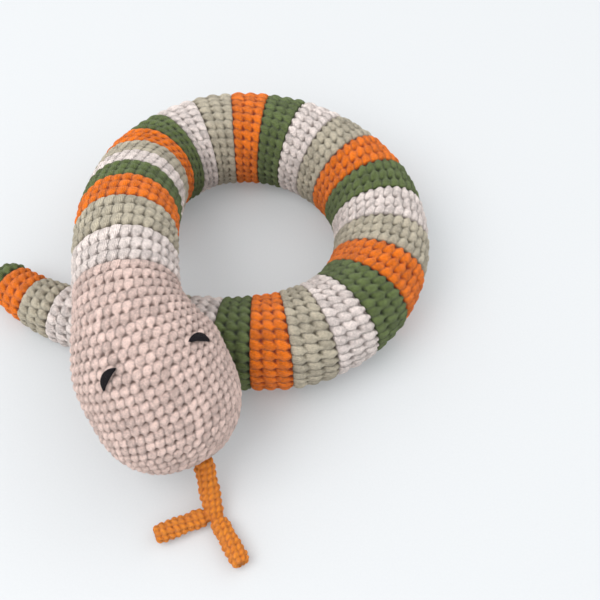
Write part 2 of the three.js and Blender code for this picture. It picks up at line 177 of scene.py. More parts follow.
class SnakeHead(bpy.types.PropertyGroup):
    """Sizes of the head and its eyes."""

    reach: length("Reach", "From the neck to the nose, seen from above", 0.076)
    neck_stretch: length("Neck stretch", "How far the head keeps the neck's direction", 0.038)
    nose_stretch: length("Nose stretch", "How far the head keeps the nose's direction", 0.018)
    width: length("Width", "Widest place", 0.078)
    crown: length("Crown", "Height over the head's line", 0.037)
    belly: length("Belly", "Depth under the head's line", 0.024)
    turn: angle("Turn", "How far the head turns from the neck", 21)
    nose_height: length("Nose height", "Height of the nose over the table", 0.020)
    nose_dip: angle("Nose dip", "How far the nose points down", 28)
    widest_from: share("Widest from", "Share of the head's length where it is first widest", 0.42)
    widest_to: share("Widest to", "Share of the head's length where it narrows again", 0.58)
    nose_fall: FloatProperty(name="Nose fall", description="Higher narrows later", default=2.1)
    nose_bluntness: FloatProperty(name="Nose bluntness", description="Lower is blunter", default=0.55)
    eye_length: length("Eye length", "Length of an embroidered eye", 0.0135)
    eye_width: length("Eye width", "Width of an embroidered eye", 0.0042)
    eye_place: share("Eye place", "Share of the head's length where the eyes are", 0.335)
    eye_angle: angle("Eye angle", "How far an eye is from the top of the head", 38)
    eye_tilt: angle("Eye tilt", "How far an eye's outer end droops", 34)
    eye_threads: IntProperty(name="Eye threads", description="Threads laid side by side in an eye", default=6)


class SnakeTongue(bpy.types.PropertyGroup):
    """Sizes of the tongue."""

    stem: length("Stem", "Thickness of the tongue's stem", 0.0104)
    fork: length("Fork", "Thickness of the tongue's tines", 0.0096)
    fork_reach: share("Fork reach", "How far a tine reaches, of the frame's tine", 0.87)
    knob: share("Knob", "How much thicker a tine's end is", 1.18)
    pitch: length("Pitch", "Size of a stitch of the cord", 0.0037)


class SnakeYarn(bpy.types.PropertyGroup):
    """The stitches, the yarn and its colours."""

    pitch: length("Stitch width", "Width of one single crochet stitch", 0.00565)
    row: length("Row height", "Height of one row of stitches on the body", 0.0063)
    rows: IntProperty(name="Rows", description="Rows of stitches in a stripe", default=3)
    depth: length("Relief", "From the bottom of a gap to the top of a stitch", 0.0027)
    head_pitch: length("Head stitch width", "Width of a stitch of the head", 0.0048)
    head_row: length("Head row height", "Height of one row of stitches on the head", 0.0051)
    pale: yarn("Pale", "Pale yarn", (0.84, 0.735, 0.685))
    sage: yarn("Sage", "Sage yarn", (0.52, 0.46, 0.35))
    orange: yarn("Orange", "Orange yarn", (0.88, 0.190, 0.010))
    green: yarn("Green", "Green yarn", (0.125, 0.165, 0.055))
    beige: yarn("Beige", "Beige yarn of the head", (0.80, 0.60, 0.53))
    tongue: yarn("Tongue", "Orange cord of the tongue", (0.96, 0.27, 0.022))
    thread: yarn("Thread", "Black embroidery thread", (0.010, 0.008, 0.010))


class SnakeStage(bpy.types.PropertyGroup):
    """Floor, lights and camera."""

    floor: yarn("Floor", "Colour of the floor", (0.47, 0.48, 0.487))
    glow: FloatProperty(name="Glow", description="Light that comes up through the floor", default=0.30)
    sky: FloatProperty(name="Sky", description="Strength of the light from all round", default=1.22)
    key: FloatProperty(
        name="Key light", description="Power of the large soft light", default=10.0, unit="POWER"
    )
    elevation: angle("Elevation", "How far the camera looks down", 57)
    distance: length("Distance", "From the camera to the place it looks at", 0.68)
    lens: FloatProperty(name="Lens", description="Focal length in millimetres", default=69.0)
    aim_x: FloatProperty(name="Aim X", description="Place the camera looks at", default=0.053, unit="LENGTH")
    aim_y: FloatProperty(name="Aim Y", description="Place the camera looks at", default=0.0195, unit="LENGTH")


def unit(vectors):
    """Vectors made one long, along the last axis."""
    return vectors / np.linalg.norm(vectors, axis=-1, keepdims=True)


def smooth(low, high, value):
    """0 below low, 1 above high, eased between."""
    x = np.clip((value - low) / (high - low), 0.0, 1.0)
    return x * x * (3 - 2 * x)


# ---- the snake's line ----
# A place along the body is given in stripes: 0 at the neck, STRIPES at the tail's end.
# Places under 0 run on through the head, to the nose.


class SnakeLine:
    """The line the body and the head follow, and the cross sections on it, in metres."""

    def __init__(self, body, head):
        self.body = body
        self.head = head
        self.body_radius = body.diameter / 2
        self.neck_lift = 2 * self.radius(body.crossing) + body.clearance
        self.line_places = np.arange(STRIPES * PATH_STEPS + 1) / PATH_STEPS
        self.line = self.lay_body()
        neck_bend = ROOT_STRIPES[0] - 1
        bend = self.pivot_place(neck_bend, -1)
        placed = np.array(JOINTS["segment_05"]["pos_m"])
        self.line += placed - self.body_centre(bend)
        self.lay_head()

    def radius(self, place):
        """Radius of the body, which tapers to the tail."""
        taper_start = STRIPES - 1 - self.body.taper_stripes
        gone = np.clip((np.asarray(place) - taper_start) / self.body.taper_stripes, 0, 1)
        tip = self.body.tip_diameter / 2
        return self.body_radius + (tip - self.body_radius) * gone**self.body.taper_curve

    def lift_share(self, place):
        """0 where the neck lies level over the tail, 1 from where it reaches the table."""
        run = self.body.ground - self.body.level
        return np.clip((np.asarray(place) - self.body.level) / run, 0, 1)

    def direction(self, place):
        """The way to the tail."""
        place = np.asarray(place, float)
        turned = np.zeros_like(place)
        start = 0.0
        for stripes, degrees in COIL:
            turned += math.radians(degrees) * np.clip((place - start) / stripes, 0, 1)
            start += stripes
        heading = self.body.neck_heading - turned
        run = (self.body.ground - self.body.level) * self.body.stripe
        slope = -self.neck_lift * 0.5 * math.pi / run * np.sin(math.pi * self.lift_share(place))
        return unit(np.stack((np.cos(heading), np.sin(heading), slope), axis=-1))

    def lay_body(self):
        """Points of the body's line, from the neck to the tail's end."""
        middles = self.line_places[1:] - 0.5 / PATH_STEPS
        steps = np.where(middles > STRIPES - 1, self.body.last_stripe, self.body.stripe) / PATH_STEPS
        line = np.zeros((len(self.line_places), 3))
        line[1:] = np.cumsum(self.direction(middles) * steps[:, None], axis=0)
        lift = self.neck_lift * (0.5 + 0.5 * np.cos(math.pi * self.lift_share(self.line_places)))
        line[:, 2] = self.radius(self.line_places) + lift
        return line

    def body_centre(self, place):
        """The middle of the body at a place."""
        place = np.clip(place, 0, STRIPES)
        return np.stack([np.interp(place, self.line_places, self.line[:, i]) for i in range(3)], axis=-1)

    def lay_head(self):
        """A curve that leaves the neck in its direction and comes down to the nose."""
        head = self.head
        neck = self.body_centre(0.0)
        leaving = -self.direction(0.0)
        turn = math.atan2(leaving[1], leaving[0]) + head.turn
        ahead = np.array((math.cos(turn), math.sin(turn), 0.0))
        nose = neck + ahead * head.reach
        nose[2] = head.nose_height
        ending = ahead * math.cos(head.nose_dip) - UP * math.sin(head.nose_dip)
        bend_in = neck + leaving * head.neck_stretch
        bend_out = nose - ending * head.nose_stretch
        t = np.linspace(0, 1, LINE_STEPS + 1)[:, None]
        ends = neck * (1 - t) ** 3 + nose * t**3
        self.head_line = ends + 3 * bend_in * t * (1 - t) ** 2 + 3 * bend_out * t**2 * (1 - t)
        steps = np.linalg.norm(np.diff(self.head_line, axis=0), axis=1)
        self.head_run = np.concatenate(((0,), np.cumsum(steps)))
        self.head_stripes = self.head_run[-1] / self.body.stripe
        self.head_ways = unit(np.gradient(self.head_line, axis=0))

    def pivot_place(self, stripe, away):
        """Where the bend at a stripe's edge turns; away is +1 towards the tail."""
        return stripe + away * self.body.pivot_depth * self.radius(stripe) / self.body.stripe

    def section(self, place):
        """Centre, way to the tail, and the reach sideways, up and down, for an array of places."""
        place = np.asarray(place, float)
        head = self.head
        on_head = place < 0
        gone = np.clip(-place / self.head_stripes, 0, 1)
        run = gone * self.head_run[-1]
        centre, way = self.body_centre(place), self.direction(np.maximum(place, 0))
        for i in range(3):
            head_centre = np.interp(run, self.head_run, self.head_line[:, i])
            head_way = np.interp(run, self.head_run, self.head_ways[:, i])
            centre[:, i] = np.where(on_head, head_centre, centre[:, i])
            way[:, i] = np.where(on_head, -head_way, way[:, i])
        swelling = 0.5 - 0.5 * np.cos(math.pi * gone / head.widest_from)
        swell = np.where(gone < head.widest_from, swelling, 1.0)
        past = np.clip((gone - head.widest_to) / (1 - head.widest_to), 0, 1)
        rounding = (1 - past**head.nose_fall) ** head.nose_bluntness
        reaches = []
        for size in (head.width / 2, head.crown, head.belly):
            grown = (self.body_radius + (size - self.body_radius) * swell) * rounding
            reaches.append(np.where(on_head, grown, self.radius(place)))
        return centre, unit(way), reaches

    def surface(self, places, angles, shrink=1.0):
        """A grid of points on the skin: one line of them for each place."""
        centre, way, (wide, crown, belly) = self.section(places)
        side = unit(np.cross(way, UP))
        top = np.cross(side, way)
        shrink = np.broadcast_to(shrink, np.shape(places))[:, None, None]
        across, high = np.cos(angles)[None, :, None], np.sin(angles)[None, :, None]
        reach_up = np.where(high > 0, crown[:, None, None], belly[:, None, None])
        out = side[:, None] * wide[:, None, None] * across + top[:, None] * reach_up * high
        return centre[:, None] + out * shrink


# ---- stitches ----


def chance(*numbers):
    """A number from 0 to 1 that always comes out the same for the same stitch."""
    mixed = sum(np.asarray(n) * k for n, k in zip(numbers, (12.9898, 78.233, 37.719)))
    return np.modf(np.abs(np.sin(mixed) * 43758.5453))[0]


def stitch_height(across, along):
    """Height of one stitch: part of its row's ridge, creased into two legs, and its foot in the row before.

    across runs from -0.5 to 0.5 over the stitch, along from 0 at its foot to 1 at its head.
    """
    ridge = np.maximum(0, 1 - np.abs((along - RIDGE_MIDDLE) / RIDGE_REACH) ** RIDGE_CURVE)
    rounded = 1 - NOTCH_DEPTH + NOTCH_DEPTH * np.cos(2 * math.pi * across)
    opening = smooth(CREASE_FROM, CREASE_TO, along)
    crease = 1 - CREASE_DEPTH * np.exp(-((across / CREASE_WIDTH) ** 2)) * opening
    foot = 1 - (across / FOOT_WIDTH) ** 2 - ((along - FOOT_MIDDLE) / FOOT_REACH) ** 2
    standing = FOOT_HEIGHT * np.sqrt(np.maximum(0, foot))
    from_edge = (np.abs(across) - 0.5) / HOLE_WIDTH
    hole = np.exp(-(from_edge**2) - ((along - HOLE_MIDDLE) / HOLE_REACH) ** 2) * (along > HOLE_FROM)
    return np.maximum(ridge * rounded * crease, standing) - HOLE_DEPTH * hole


def work_rows(row, turn, counts, first_row=0):
    """Height, tone and place across the stitch, over a grid of rows by turns round the piece."""
    height = np.zeros((len(row), len(turn)))
    tone = np.full_like(height, 0.5)
    place_across = np.zeros_like(height)
    for number, count in enumerate(counts):
        along = row - number
        near = (along > STITCH_FROM) & (along < STITCH_TO)
        reach = along[near][:, None]
        row_number = number + first_row
        stitches = turn[None, :] * count + ROW_DRIFT * row_number + STITCH_LEAN * (reach - 0.5)
        whole = np.floor(stitches)
        across = stitches - whole - 0.5
        lift = 1 + HEIGHT_CHANCE * (chance(whole, row_number, 2) - 0.5)
        late = PLACE_CHANCE * (chance(whole, row_number, 3) - 0.5)
        stitch = stitch_height(across, reach + late) * lift
        higher = stitch > height[near]
        height[near] = np.where(higher, stitch, height[near])
        tone[near] = np.where(higher, chance(whole, row_number, 4), tone[near])
        place_across[near] = np.where(higher, across, place_across[near])
    return tuck_ends(height, row, len(counts)), tone, place_across


def tuck_ends(height, row, rows):
    """Sinks what goes under the neighbours: the ground before the first row, all after the last."""
    before = smooth(0.0, START_FADE, row)[:, None]
    after = smooth(rows, rows + END_FADE, row)[:, None]
    height = height * (1 - before) + (height * START_SCALE - START_DEPTH) * before
    return height * (1 - after) - END_DEPTH * after


def skin_normals(points):
    """Outward directions over a grid of points that closes round each line."""
    wrapped = np.concatenate((points[:, -1:], points, points[:, :1]), axis=1)
    round_way = wrapped[:, 2:] - wrapped[:, :-2]
    along_way = np.gradient(points, axis=0)
    normals = unit(np.cross(along_way, round_way) + 1e-15)
    outward = points - points.mean(axis=1, keepdims=True)
    inside_out = np.sum(normals * outward) < 0
    return -normals if inside_out else normals


def make_mesh(name, points, values, closed_end=None):
    """A mesh from a grid that closes round each line, with values on its points.

    closed_end is 0 or -1 for the line that a last point closes.
    """
    lines, columns = points.shape[:2]
    corners = np.arange(lines * columns).reshape(lines, columns)
    following = np.roll(corners, -1, axis=1)
    faces = np.stack((corners[:-1], following[:-1], following[1:], corners[1:]), axis=-1).reshape(-1, 4)
    vertices = points.reshape(-1, 3)
    loops, starts = faces.ravel(), np.arange(len(faces)) * 4
    if closed_end is not None:
        middle = len(vertices)
        vertices = np.vstack((vertices, points[closed_end].mean(axis=0)))
        rim, rim_next = corners[closed_end], following[closed_end]
        order = (rim, rim_next) if closed_end else (rim_next, rim)
        fan = np.stack((order[0], order[1], np.full(columns, middle)), axis=-1)
        starts = np.concatenate((starts, len(loops) + np.arange(columns) * 3))
        loops = np.concatenate((loops, fan.ravel()))
    mesh = bpy.data.meshes.new(name)
    mesh.vertices.add(len(vertices))
    mesh.vertices.foreach_set("co", vertices.astype(np.float32).ravel())
    mesh.loops.add(len(loops))
    mesh.loops.foreach_set("vertex_index", loops.astype(np.int32))
    mesh.polygons.add(len(starts))
    mesh.polygons.foreach_set("loop_start", starts.astype(np.int32))
    mesh.polygons.foreach_set("use_smooth", np.ones(len(starts), bool))
    for key, grid in values.items():
        flat = grid.ravel()
        if closed_end is not None:
            flat = np.append(flat, grid[closed_end].mean())
        mesh.attributes.new(key, "FLOAT", "POINT").data.foreach_set("value", flat.astype(np.float32))
    mesh.update()
    mesh.validate()
    return mesh


def crochet(name, skin, row, counts, sizes, closed_end=None, first_row=0):
    """Works stitches over a grid of skin points and returns the new object."""
    columns = skin.shape[1]
    turn = np.arange(columns) / columns
    height, tone, across = work_rows(row, turn, counts, first_row)
    run = np.linalg.norm(np.gradient(skin, axis=0), axis=-1)
    rows_run = run / np.maximum(np.gradient(row)[:, None], 1e-6)
    room = np.clip(rows_run / sizes.row, ROOM_LEAST, ROOM_MOST) ** ROOM_CURVE
    raised = sizes.depth * room * (height - SKIN_HEIGHT)
    points = skin + skin_normals(skin) * raised[..., None]
    points[..., 2] = np.maximum(points[..., 2], TABLE_GAP)
    values = {
        "height": np.clip(height, 0, 1),
        "tone": tone,
        "across": across,
        "along": np.broadcast_to(row[:, None], height.shape),
    }
    piece = bpy.data.objects.new(name, make_mesh(name, points, values, closed_end))
    bpy.context.scene.collection.objects.link(piece)
    return piece


# ---- materials ----

# Spun yarn: noise scales are per metre, the rest are shares.
FIBRES = (900.0, 6.0, 0.8)
PATCHES = (380.0, 3.0)
FIBRE_SHARE, PATCH_SHARE, TONE_SHARE = 0.55, 0.45, 0.16
DULL_BELOW, LIGHT_ABOVE = 0.36, 0.64
# The lightest random fibre tone, and how dark the painted shade between stitches goes; then how that painted
# shade fades in over the stitch height, and its curve.
LIGHTEST, DEEPEST_PAINTED_SHADE = 1.18, 0.42
PAINTED_SHADE_FADE, PAINTED_SHADE_CURVE = 0.5, 0.9
YARN_SPECULAR, SHEEN_ROUGHNESS = 0.10, 0.45
# Plies: turns of the twist along a stitch and across it, its share of the relief, and the relief.
TURNS_ALONG, TURNS_ACROSS, TWIST_SHARE = 3.0, 6.0, 0.28
PLY_RELIEF = 0.0009

class Nodes:
    """Short ways to add and join a material's nodes."""

    def __init__(self, name):
        self.material = bpy.data.materials.new(name)
        self.material.use_nodes = True
        self.tree = self.material.node_tree
        self.tree.nodes.clear()

    def add(self, kind, **settings):
        node = self.tree.nodes.new(kind)
        for key, value in settings.items():
            setattr(node, key, value)
        return node

    def join(self, output, socket):
        self.tree.links.new(output, socket)

    def attribute(self, name):
        return self.add("ShaderNodeAttribute", attribute_name=name).outputs["Fac"]

    def math(self, operation, first, second=0.0, third=0.0):
        node = self.add("ShaderNodeMath", operation=operation)
        for socket, value in zip(node.inputs, (first, second, third)):
            if isinstance(value, bpy.types.NodeSocket):
                self.join(value, socket)
            else:
                socket.default_value = value
        return node.outputs[0]

    def noise(self, scale, detail, roughness=0.5):
        node = self.add("ShaderNodeTexNoise")
        coordinates = self.add("ShaderNodeTexCoord")
        self.join(coordinates.outputs["Object"], node.inputs["Vector"])
        node.inputs["Scale"].default_value = scale
        node.inputs["Detail"].default_value = detail
        node.inputs["Roughness"].default_value = roughness
        return node.outputs["Fac"]

    def ramp(self, value, low, high, start, end):
        node = self.add("ShaderNodeMapRange", clamp=True)
        self.join(value, node.inputs["Value"])
        for socket, number in zip(list(node.inputs)[1:5], (low, high, start, end)):
            socket.default_value = number
        return node.outputs["Result"]

    def mix(self, factor, first, second):
        node = self.add("ShaderNodeMix", data_type="RGBA")
        ends = (node.inputs[0], node.inputs[6], node.inputs[7])
        for socket, value in zip(ends, (factor, first, second)):
            if isinstance(value, bpy.types.NodeSocket):
                self.join(value, socket)
            else:
                socket.default_value = value
        return node.outputs[2]

    def finish(self, shader):
        output = self.add("ShaderNodeOutputMaterial")
        self.join(shader.outputs[0], output.inputs["Surface"])
        return self.material


def yarn_material(name, colour, shade_power=1.5, sheen=0.12, worn=0.66, shaded_under=0.55):
    """Spun cotton: twisted plies and stray fibres, with shade painted into the colour where the stitches
    part.
    """
    nodes = Nodes(name)
    colour = np.array(colour[:])
    # Painted shade: a darker, more saturated colour for the low places between stitches.
    painted_shade = tuple(colour**shade_power * DEEPEST_PAINTED_SHADE) + (1.0,)
    light = tuple(np.minimum(colour * LIGHTEST, 1.0)) + (1.0,)
    dull = tuple(colour * worn) + (1.0,)
    height = nodes.attribute("height")
    fibres = nodes.noise(*FIBRES)
    patches = nodes.noise(*PATCHES)
    tone = nodes.attribute("tone")
    varied = nodes.math("MULTIPLY_ADD", fibres, FIBRE_SHARE, nodes.math("MULTIPLY", patches, PATCH_SHARE))
    centred = nodes.math("SUBTRACT", varied, TONE_SHARE / 2)
    varied = nodes.math("MULTIPLY_ADD", tone, TONE_SHARE, centred)
    spun = nodes.mix(nodes.ramp(varied, DULL_BELOW, LIGHT_ABOVE, 0.0, 1.0), dull, light)
    # Mask of the painted shade: full where a stitch is low, gone where it stands high.
    painted_shade_mask = nodes.ramp(height, shaded_under - PAINTED_SHADE_FADE, shaded_under, 1.0, 0.0)
    full = nodes.mix(nodes.math("POWER", painted_shade_mask, PAINTED_SHADE_CURVE), spun, painted_shade)
    shader = nodes.add("ShaderNodeBsdfPrincipled")
    nodes.join(full, shader.inputs["Base Color"])
    shader.inputs["Specular IOR Level"].default_value = YARN_SPECULAR
    shader.inputs["Sheen Weight"].default_value = sheen
    shader.inputs["Sheen Roughness"].default_value = SHEEN_ROUGHNESS
    nodes.join(nodes.ramp(fibres, 0.3, 0.7, 0.86, 1.0), shader.inputs["Roughness"])
    nodes.join(ply_bump(nodes, fibres), shader.inputs["Normal"])
    return nodes.finish(shader)


def ply_bump(nodes, fibres):
    """The twist of the yarn's plies along each leg of a stitch, with fibres over it."""
    across, along = nodes.attribute("across"), nodes.attribute("along")
    turned_across = nodes.math("MULTIPLY", nodes.math("ABSOLUTE", across), TURNS_ACROSS)
    turns = nodes.math("MULTIPLY_ADD", along, TURNS_ALONG, turned_across)
    twist = nodes.math("SINE", nodes.math("MULTIPLY", turns, 2 * math.pi))
    bump = nodes.add("ShaderNodeBump")
    bump.inputs["Strength"].default_value = 1.0
    bump.inputs["Distance"].default_value = PLY_RELIEF
    nodes.join(nodes.math("MULTIPLY_ADD", twist, TWIST_SHARE, fibres), bump.inputs["Height"])
    return bump.outputs["Normal"]


def stage_material(colour, glow):
    """Fine-grained, matt and pale, with a little light of its own."""
    nodes = Nodes("pale_floor")
    grain = nodes.noise(900.0, 4.0)
    base = tuple(colour[:]) + (1.0,)
    fine = nodes.mix(nodes.ramp(grain, 0.3, 0.7, 0.0, 0.02), base, (1.0, 1.0, 1.0, 1.0))
    shader = nodes.add("ShaderNodeBsdfPrincipled")
    nodes.join(fine, shader.inputs["Base Color"])
    shader.inputs["Roughness"].default_value = 1.0
    shader.inputs["Specular IOR Level"].default_value = 0.0
    nodes.join(fine, shader.inputs["Emission Color"])
    shader.inputs["Emission Strength"].default_value = glow
    return nodes.finish(shader)


# ---- pieces ----


def snake_line():
    """The line laid from the sizes that are set now."""
    scene = bpy.context.scene
    return SnakeLine(scene.snake_body, scene.snake_head)


def round_angles(columns):
    """Angles of the columns round a piece."""
    return np.arange(columns) / columns * 2 * math.pi


def girth(line, places):
    """Length round the snake at each of some places."""
    _, _, (wide, crown, belly) = line.section(places)
    return 2 * math.pi * np.sqrt((wide**2 + ((crown + belly) / 2) ** 2) / 2)


def stitch_counts(girths, pitch):
    """Stitches that fit into each round."""
    return [max(LEAST_STITCHES, round(float(reach) / pitch)) for reach in girths]


def body_of_stripe(number):
    """The two bodies that a stripe bends between, or one body."""
    segment = (number + 1) // STRIPES_PER_SEGMENT
    own = f"segment_{segment:02d}"
    if number in ROOT_STRIPES:
        return ("coil_back",)
    if HELD_STRIPES[0] <= number <= HELD_STRIPES[1]:
        return ("held_stretch",)
    if own not in frame["bodies"]:
        own = "held_stretch"
    return (JOINTS[own]["parent"], own)


def bend_edge(child):
    """The stripe edge at which a body's bend lies, and +1 if the body is on its tail side."""
    if child == "head":
        return 0, -1
    if child == "held_stretch":
        return HELD_STRIPES[0] - 1 - STRIPES_PER_SEGMENT, 1
    segment = int(child[-2:])
    if segment > ROOT_STRIPES[1] // STRIPES_PER_SEGMENT:
        return (segment - 1) * STRIPES_PER_SEGMENT, 1
    return segment * STRIPES_PER_SEGMENT, -1


def attach(piece, line, bodies):
    """Rides on one body; a piece between two bodies only has its transform baked and rides on neither."""
    if len(bodies) == 1:
        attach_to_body(piece, bodies[0])
        return
    parent, child = bodies
    edge, towards_child = bend_edge(child)
    place = float(line.pivot_place(edge, towards_child))
    _, way, _ = line.section(np.array([place]))
    reach = way[0] * line.body.bend_reach * float(line.radius(max(place, 0)))
    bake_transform(piece)


def open_rows(line, sizes, number, columns):
    """A stripe that is open at both ends: skin points, rows and stitch counts."""
    row = np.arange(STITCH_FROM, sizes.rows + TUCK, 1 / LINES_PER_ROW)
    skin = line.surface(number - 1 + row / sizes.rows, round_angles(columns))
    middles = number - 1 + (np.arange(sizes.rows) + 0.5) / sizes.rows
    return skin, row, stitch_counts(girth(line, middles), sizes.pitch)


def dome_rows(line, sizes, columns):
    """The closed last stripe: skin points, rows and stitch counts, evenly spaced over the dome."""
    rows = sizes.rows
    fine = np.linspace(0, 1, LINE_STEPS)
    radius = line.radius(STRIPES - 1 + fine) * np.sqrt(1 - fine**2)
    steps = np.hypot(np.diff(fine * line.body.last_stripe), np.diff(radius))
    run = np.concatenate(((0,), np.cumsum(steps)))
    row = np.arange(STITCH_FROM, rows - TAIL_OPENING, 1 / LINES_PER_ROW)
    at = row / rows * run[-1]
    gone = np.where(row < 0, at / line.body.last_stripe, np.interp(at, run, fine))
    shrinks = np.sqrt(1 - np.clip(gone, 0, 1) ** 2)
    skin = line.surface(STRIPES - 1 + gone, round_angles(columns), shrinks)
    middles = (np.arange(rows) + 0.5) / rows * run[-1]
    return skin, row, stitch_counts(2 * math.pi * np.interp(middles, run, radius), sizes.pitch)


class SNAKE_OT_work_stripes(bpy.types.Operator):
    """Work the thirty-two stripes of the body, three rows each"""

    bl_idname = "snake.work_stripes"
    bl_label = "Work the stripes"

    def execute(self, context):
        line, sizes = snake_line(), context.scene.snake_yarn
        colours = (sizes.pale, sizes.sage, sizes.orange, sizes.green)
        yarns = [yarn_material(slot, colour) for slot, colour in zip(STRIPE_SLOTS, colours)]
        columns = round(math.pi * line.body.diameter / sizes.pitch) * COLUMNS_PER_STITCH
        for number in range(1, STRIPES + 1):
            if number < STRIPES:
                skin, row, counts = open_rows(line, sizes, number, columns)
                closed_end = None
            else:
                skin, row, counts = dome_rows(line, sizes, columns)
                closed_end = -1
            name = f"crochet_stripe_{number:02d}"
            piece = crochet(name, skin, row, counts, sizes, closed_end, first_row=number * sizes.rows)
            piece.data.materials.append(yarns[(number - 1) % len(yarns)])
            attach(piece, line, body_of_stripe(number))
            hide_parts(f"stripe_{number:02d}")
            if number % STRIPES_PER_SEGMENT == 0:
                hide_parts(f"body_filling_{number // STRIPES_PER_SEGMENT:02d}")
        return {"FINISHED"}


class SNAKE_OT_work_head(bpy.types.Operator):
    """Work the head in rounds from the nose to the neck"""

    bl_idname = "snake.work_head"
    bl_label = "Work the head"

    def execute(self, context):
        line, sizes = snake_line(), context.scene.snake_yarn
        places = -line.head_stripes * np.linspace(1, 0, HEAD_STEPS)
        steps = np.linalg.norm(np.diff(line.surface(places, HEAD_LINES), axis=0), axis=2)
        run = np.concatenate(((0,), np.cumsum(steps @ HEAD_LINE_SHARES)))
        rows = round(run[-1] / sizes.head_row)
        row = np.arange(NOSE_OPENING, rows + TUCK, 1 / LINES_PER_ROW)
        behind = np.maximum(row - rows, 0) / sizes.rows
        skin_places = np.interp(np.minimum(row, rows) / rows * run[-1], run, places) + behind
        middles = (np.arange(rows) + 0.5) / rows * run[-1]
        counts = stitch_counts(np.interp(middles, run, girth(line, places)), sizes.head_pitch)
        columns = max(counts) * COLUMNS_PER_STITCH
        skin = line.surface(skin_places, round_angles(columns))
        piece = crochet("crochet_head", skin, row, counts, sizes, closed_end=0)
        piece.data.materials.append(yarn_material("head_yarn", sizes.beige))
        attach(piece, line, ("segment_01", "head"))
        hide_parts("head_cover", "head_filling")
        return {"FINISHED"}


def tube(centre_line, radii, columns):
    """Skin points round a line."""
    ways = unit(np.gradient(centre_line, axis=0))
    side = unit(np.cross(ways, UP))
    top = np.cross(side, ways)
    angles = round_angles(columns)[None, :, None]
    out = side[:, None] * np.cos(angles) + top[:, None] * np.sin(angles)
    return centre_line[:, None] + out * radii[:, None, None]


class SNAKE_OT_embroider_eyes(bpy.types.Operator):
    """Embroider two half-moon eyes in black thread laid side by side"""

    bl_idname = "snake.embroider_eyes"
    bl_label = "Embroider the eyes"

    def execute(self, context):
        line, head = snake_line(), context.scene.snake_head
        thread = yarn_material("eye_thread", context.scene.snake_yarn.thread, 1.0, sheen=0.05)
        for name, sideways in (("eye_left", LEFT), ("eye_right", RIGHT)):
            threads = [self.thread_line(line, head, sideways, n) for n in range(head.eye_threads)]
            radius = head.eye_width / head.eye_threads * THREAD_FULLNESS
            piece = join_tubes(f"embroidered_{name}", threads, radius)
            piece.data.materials.append(thread)
            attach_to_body(piece, "head")
            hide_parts(name)
        return {"FINISHED"}

    def thread_line(self, line, head, sideways, number):
        """One thread, from one end of the half moon to the other, over the head's skin."""
        place = -line.head_stripes * head.eye_place
        turn = math.pi / 2 - sideways * head.eye_angle
        step = 0.02
        grid = line.surface(np.array([place, place - step]), np.array([turn, turn + step]))
        here = grid[0, 0]
        along = unit(grid[1, 0] - here)
        normal = unit(np.cross(along, grid[0, 1] - here))
        outward = normal if normal[2] > 0 else -normal
        across = unit(np.cross(outward, along))
        tilt = -sideways * head.eye_tilt
        long_way = across * math.cos(tilt) - along * math.sin(tilt)
        back_way = -along * math.cos(tilt) - across * math.sin(tilt)
        level = (number + 0.5) / head.eye_threads
        t = np.linspace(-1, 1, THREAD_STEPS)
        out = t * head.eye_length / 2
        arch = head.eye_width * (level * (1 - np.abs(t) ** EYE_CURVE) - EYE_SEAT)
        proud = THREAD_LIFT + THREAD_SWELL * (1 - t**4) + EYE_SWELL * math.sin(math.pi * level)
        lift = proud - (out**2 + arch**2) / head.width
        return here + np.outer(out, long_way) + np.outer(arch, back_way) + np.outer(lift, outward)


def join_tubes(name, lines, radius, columns=THREAD_SIDES):
    """Several thin tubes in one mesh, each with rounded ends."""
    vertices, faces = [], []
    for points in lines:
        t = np.linspace(-1, 1, len(points))
        radii = radius * np.sqrt(np.maximum(0.02, 1 - t**10))
        ring = tube(points, radii, columns)
        start, count = len(vertices), len(points)
        vertices.extend(ring.reshape(-1, 3).tolist())
        for i in range(count - 1):
            for j in range(columns):
                k = (j + 1) % columns
                a, b = start + i * columns, start + (i + 1) * columns
                faces.append((a + j, a + k, b + k, b + j))
        faces.append(tuple(start + j for j in range(columns))[::-1])
        faces.append(tuple(start + (count - 1) * columns + j for j in range(columns)))
    mesh = bpy.data.meshes.new(name)
    mesh.from_pydata(vertices, [], faces)
    mesh.polygons.foreach_set("use_smooth", np.ones(len(mesh.polygons), bool))
    for key, value in (("height", 0.9), ("tone", 0.5), ("across", 0.2), ("along", 0.0)):
        data = mesh.attributes.new(key, "FLOAT", "POINT").data
        data.foreach_set("value", np.full(len(mesh.vertices), value, np.float32))
    mesh.update()
    piece = bpy.data.objects.new(name, mesh)
    bpy.context.scene.collection.objects.link(piece)
    return piece


def far_point(node, start):
    """The point of a CAD node that is furthest from start."""
    points = np.array([v.co for v in frame["nodes"][node].data.vertices], float)
    return points[np.argmax(np.linalg.norm(points - start, axis=1))]


